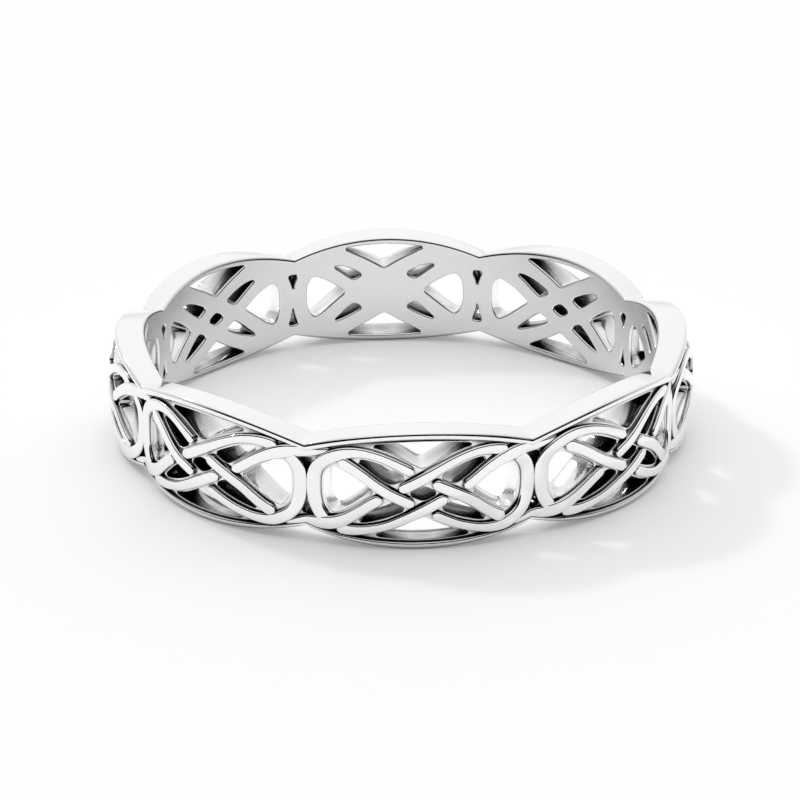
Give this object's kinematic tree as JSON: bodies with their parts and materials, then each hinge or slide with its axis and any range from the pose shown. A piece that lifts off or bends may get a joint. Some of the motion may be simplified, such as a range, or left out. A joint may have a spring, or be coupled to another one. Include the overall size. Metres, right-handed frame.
{
  "type": "celtic knot band ring",
  "caption": "One-piece polished finger ring with arched lobes of pierced, woven Celtic knotwork between raised rims, lying on its side.",
  "frame": {"origin": "on the finger hole's axis, at the height of the surface that the ring lies on", "axes": "+Z along the finger hole's axis; -Y through the middle of an open lobe and +Y through the middle of the lobe with the closed plate"},
  "size_m": [0.02, 0.02, 0.004],
  "materials": {
    "polished_silver": "high polish white metal, rhodium-plated silver"
  },
  "bodies": {
    "root": {"knot_band": "polished_silver"}
  },
  "joints": []
}
